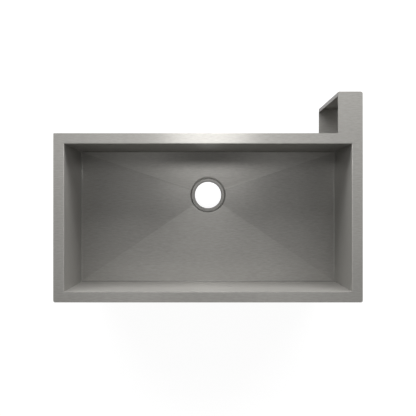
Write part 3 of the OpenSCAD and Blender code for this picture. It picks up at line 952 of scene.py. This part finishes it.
clip_zinc = zinc_plate("zinc-plated strip", STRIP_COLOUR)
for joint in joints:
    body = joint["child"]
    node = "clip_" + body.removesuffix("_clip")
    pressed = bpy.data.objects.new(body + "_pressing", nodes[node].data.copy())
    bpy.context.scene.collection.objects.link(pressed)
    pressed.data.materials.clear()
    pressed.data.materials.append(clip_zinc)
    pressed.data.shade_smooth()
    pressed.modifiers.new("joined corners", "WELD").merge_threshold = SAME_POINT
    edge = pressed.modifiers.new("tumbled edges", "BEVEL")
    edge.width = TUMBLED_EDGE
    edge.segments = 2
    edge.limit_method = "ANGLE"
    edge.angle_limit = TUMBLED_ANGLE
    shade_by_area(pressed)
    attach(pressed, body)
    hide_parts(node)

# Washers. Stamped from zinc-plated sheet, with the rounded outer edge that the die leaves.
# Each lies on its stud between the clip and the nut.
WASHER_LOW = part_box("clip_washers")[0][2]
WASHER_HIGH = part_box("clip_washers")[1][2]
WASHER_RADIUS = 0.006
WASHER_EDGE = 0.00035
WASHER_EDGE_PARTS = 3
WASHER_SIDES = 40
BORE_RADIUS = 0.00305
BORE_CHAMFER = 0.0002
FASTENER_COLOUR = (0.52, 0.54, 0.57, 1.0)


def build_washers(form):
    """Every washer as rings round its section, flat on the clip and rounded below."""
    profile = [(BORE_RADIUS, WASHER_HIGH), (WASHER_RADIUS, WASHER_HIGH)]
    for part in range(WASHER_EDGE_PARTS + 1):
        turn = math.pi / 2 * part / WASHER_EDGE_PARTS
        run = WASHER_EDGE * (1 - math.cos(turn))
        profile.append((WASHER_RADIUS - run, WASHER_LOW + WASHER_EDGE * (1 - math.sin(turn))))
    profile += [(BORE_RADIUS + BORE_CHAMFER, WASHER_LOW), (BORE_RADIUS, WASHER_LOW + BORE_CHAMFER)]
    for place in stud_places:
        centre = Vector((place.x, place.y, 0.0))
        rings = [circle_of(form, centre, lambda turn: r, z, WASHER_SIDES) for r, z in profile]
        for ring, following in zip(rings, rings[1:] + rings[:1]):
            join_rings(form, ring, following)
        for ring in (rings[0], rings[1], rings[-2], rings[-1]):
            for side in range(WASHER_SIDES):
                form.edges.get((ring[side - 1], ring[side])).smooth = False


fastener_zinc = zinc_plate("zinc-plated fasteners", FASTENER_COLOUR)
washers = new_piece("clip_washer_set", build_washers, fastener_zinc, "sink")
shade_by_area(washers)
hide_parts("clip_washers")

# Lock nuts. Zinc-plated hexagons with chamfered corners; the crimped collar holds a ring
# of white nylon that the stud's thread cuts into.
NUT_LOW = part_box("lock_nuts")[0][2]
NUT_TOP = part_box("lock_nuts")[1][2]
NUT_FLATS = 0.010
NUT_COLLAR = 0.0015
NUT_SIDES = 72
COLLAR_RADIUS = 0.0045
COLLAR_CRIMP = 0.0005
COLLAR_STEP = 0.0001
NYLON_RADIUS = 0.0040
NYLON_DEPTH = 0.0006
NYLON_CLOUD = 0.003
NYLON_SCATTER = 0.001
NYLON_SUBSURFACE = 0.15
NYLON_ROUGHNESS = (0.35, 0.5)
NYLON_DARK = (0.72, 0.71, 0.66, 1.0)
NYLON_LIGHT = (0.82, 0.81, 0.77, 1.0)
CHAMFER_START = 0.0047
CHAMFER_RATE = math.tan(math.radians(30))


def nylon():
    """Milky nylon, slightly cloudy where the thread has scuffed it."""
    material, tree, shader = new_material("nylon ring")
    shader.inputs["Subsurface Weight"].default_value = NYLON_SUBSURFACE
    shader.inputs["Subsurface Radius"].default_value = [NYLON_SCATTER] * 3
    place = add(tree, "ShaderNodeTexCoord")
    cloud = noise(tree, place.outputs["Object"], [NYLON_CLOUD] * 3, 3.0)
    feed(tree, shader.inputs["Base Color"], mix_colour(tree, cloud, NYLON_DARK, NYLON_LIGHT))
    feed(tree, shader.inputs["Roughness"], ramp(tree, cloud, *NOISE_SPREAD, *NYLON_ROUGHNESS))
    return material


def hexagon_radius(turn):
    """Distance from a hexagon's centre to its outline."""
    from_corner = abs((turn + math.pi / 6) % (math.pi / 3) - math.pi / 6)
    return NUT_FLATS / 2 / math.cos(math.pi / 6 - from_corner)


def build_nuts(form):
    """Every nut as columns round its bore, with the nylon ring's two bands marked."""
    shoulder = NUT_LOW + NUT_COLLAR
    nylon_bands = (8, 9)
    sharp_rows = (0, 1, 2, 3, 4, 7, 8)
    flat_top = 2
    flat_foot = 3
    for place in stud_places:
        columns = []
        for side in range(NUT_SIDES):
            turn = math.tau * side / NUT_SIDES
            outer = hexagon_radius(turn)
            drop = (outer - CHAMFER_START) * CHAMFER_RATE
            profile = [
                (BORE_RADIUS, NUT_TOP),
                (CHAMFER_START, NUT_TOP),
                (outer, NUT_TOP - drop),
                (outer, shoulder + drop),
                (CHAMFER_START, shoulder),
                (COLLAR_RADIUS, shoulder - COLLAR_STEP),
                (COLLAR_RADIUS, NUT_LOW + COLLAR_CRIMP),
                (NYLON_RADIUS + COLLAR_STEP, NUT_LOW),
                (NYLON_RADIUS, NUT_LOW + COLLAR_STEP),
                (BORE_RADIUS + BORE_CHAMFER, NUT_LOW + BORE_CHAMFER),
                (BORE_RADIUS, NUT_LOW + NYLON_DEPTH),
            ]
            way = Vector((math.cos(turn), math.sin(turn), 0.0))
            centre = Vector((place.x, place.y, 0.0))
            columns.append([form.verts.new(centre + r * way + Vector((0.0, 0.0, z))) for r, z in profile])
        for side, column in enumerate(columns):
            following = columns[(side + 1) % NUT_SIDES]
            join_rings(form, column, following)
            for row in nylon_bands:
                edge = form.edges.get((column[row], column[row + 1]))
                for face in edge.link_faces:
                    face.material_index = 1
            for row in sharp_rows:
                form.edges.get((column[row], following[row])).smooth = False
            if side % (NUT_SIDES // 6) == 0:
                form.edges.get((column[flat_top], column[flat_foot])).smooth = False


lock_nuts = new_piece("lock_nut_set", build_nuts, fastener_zinc, "sink")
lock_nuts.data.materials.append(nylon())
shade_by_area(lock_nuts)
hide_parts("lock_nuts")

# Studio. A pale floor that isn't seen from below, a white surround that greys towards the
# ceiling, and soft lamps, of which the large ones behind light the steel without being
# mirrored in it, so that the rims don't burn out. The camera looks straight down.
STUDIO_SIZE = 12.0
STUDIO_GAP = 0.0005
PAPER_COLOUR = (0.8, 0.8, 0.8, 1.0)
SEEN_PAPER_COLOUR = (0.12, 0.12, 0.12, 1.0)
SEEN_PAPER_GLOW = 0.95
LAMP_AIM = Vector((0.0, 0.0, -0.1))
WORLD_LEVEL = 0.16
CEILING_START = 0.2
CEILING_FULL = 0.7
CEILING_LEVEL = 0.16
LAMPS = {
    "low_rear_softbox": {"place": (0.0, 1.90, 0.68), "size": (4.6, 0.8), "power": 156.0, "mirrored": False},
    "high_rear_softbox": {"place": (0.0, 1.65, 1.10), "size": (4.6, 0.8), "power": 98.0, "mirrored": False},
    "overhead_softbox": {"place": (0.0, 0.34, 0.60), "size": (0.3, 0.1), "power": 1.40, "mirrored": True},
    "high_left_softbox": {"place": (-0.36, 0.0, 1.11), "size": (0.8, 0.25), "power": 0.44, "mirrored": True},
    "high_right_softbox": {"place": (0.36, 0.0, 1.11), "size": (0.8, 0.25), "power": 0.44, "mirrored": True},
}
CAMERA_HEIGHT = 1.750
PHOTO_MIDDLE_Y = 0.0289
LENS = 51.3
SENSOR_WIDTH = 36.0


def seen_or_mirrored(tree):
    """1 for rays from the camera, from a mirror or through glass, else 0."""
    path = add(tree, "ShaderNodeLightPath")
    first = math_node(tree, "MAXIMUM", path.outputs["Is Camera Ray"], path.outputs["Is Glossy Ray"])
    return math_node(tree, "MAXIMUM", first, path.outputs["Is Transmission Ray"])


def studio_paper():
    """Matt paper that takes the sink's shadow but is seen, and mirrored, near white."""
    material, tree, shader = new_material("studio paper")
    tree.nodes.remove(shader)
    diffuse = add(tree, "ShaderNodeBsdfDiffuse")
    diffuse.inputs["Color"].default_value = PAPER_COLOUR
    dimmed = add(tree, "ShaderNodeBsdfDiffuse")
    dimmed.inputs["Color"].default_value = SEEN_PAPER_COLOUR
    glow = add(tree, "ShaderNodeEmission")
    glow.inputs["Strength"].default_value = SEEN_PAPER_GLOW
    lit = add(tree, "ShaderNodeAddShader")
    tree.links.new(dimmed.outputs[0], lit.inputs[0])
    tree.links.new(glow.outputs[0], lit.inputs[1])
    choice = add(tree, "ShaderNodeMixShader")
    tree.links.new(seen_or_mirrored(tree), choice.inputs[0])
    tree.links.new(diffuse.outputs[0], choice.inputs[1])
    tree.links.new(lit.outputs[0], choice.inputs[2])
    from_below = add(tree, "ShaderNodeMixShader")
    tree.links.new(add(tree, "ShaderNodeNewGeometry").outputs["Backfacing"], from_below.inputs[0])
    tree.links.new(choice.outputs[0], from_below.inputs[1])
    tree.links.new(add(tree, "ShaderNodeBsdfTransparent").outputs[0], from_below.inputs[2])
    tree.links.new(from_below.outputs[0], tree.nodes["Material Output"].inputs["Surface"])
    return material


mesh = bpy.data.meshes.new("studio_floor")
half = STUDIO_SIZE / 2
corners = [(-half, -half, 0), (half, -half, 0), (half, half, 0), (-half, half, 0)]
mesh.from_pydata(corners, [], [(0, 1, 2, 3)])
mesh.materials.append(studio_paper())
studio_floor = bpy.data.objects.new("studio_floor", mesh)
studio_floor.location.z = cad_box[0][2] - STUDIO_GAP
bpy.context.scene.collection.objects.link(studio_floor)

world = bpy.data.worlds.new("studio surround")
bpy.context.scene.world = world
world.use_nodes = True
tree = world.node_tree
surround = tree.nodes["Background"]
surround.inputs["Color"].default_value = (1.0, 1.0, 1.0, 1.0)
direction = add(tree, "ShaderNodeTexCoord")
height = add(tree, "ShaderNodeSeparateXYZ")
feed(tree, height.inputs[0], direction.outputs["Generated"])
seen_level = ramp(tree, height.outputs["Z"], CEILING_START, CEILING_FULL, 1.0, CEILING_LEVEL)
feed(tree, surround.inputs["Strength"], mix_value(tree, seen_or_mirrored(tree), WORLD_LEVEL, seen_level))

for name, lamp in LAMPS.items():
    light = bpy.data.lights.new(name, "AREA")
    light.shape = "RECTANGLE"
    light.size, light.size_y = lamp["size"]
    light.energy = lamp["power"]
    lamp_object = bpy.data.objects.new(name, light)
    lamp_object.location = lamp["place"]
    line = LAMP_AIM - lamp_object.location
    lamp_object.rotation_euler = line.to_track_quat("-Z", "Y").to_euler()
    lamp_object.visible_camera = False
    lamp_object.visible_glossy = lamp["mirrored"]
    bpy.context.scene.collection.objects.link(lamp_object)

camera_data = bpy.data.cameras.new("photo_camera")
camera_data.sensor_width = SENSOR_WIDTH
camera_data.lens = LENS
photo_camera = bpy.data.objects.new("photo_camera", camera_data)
photo_camera.location = (0.0, PHOTO_MIDDLE_Y, CAMERA_HEIGHT)
bpy.context.scene.collection.objects.link(photo_camera)
bpy.context.scene.camera = photo_camera
bpy.context.scene.view_settings.view_transform = "Standard"
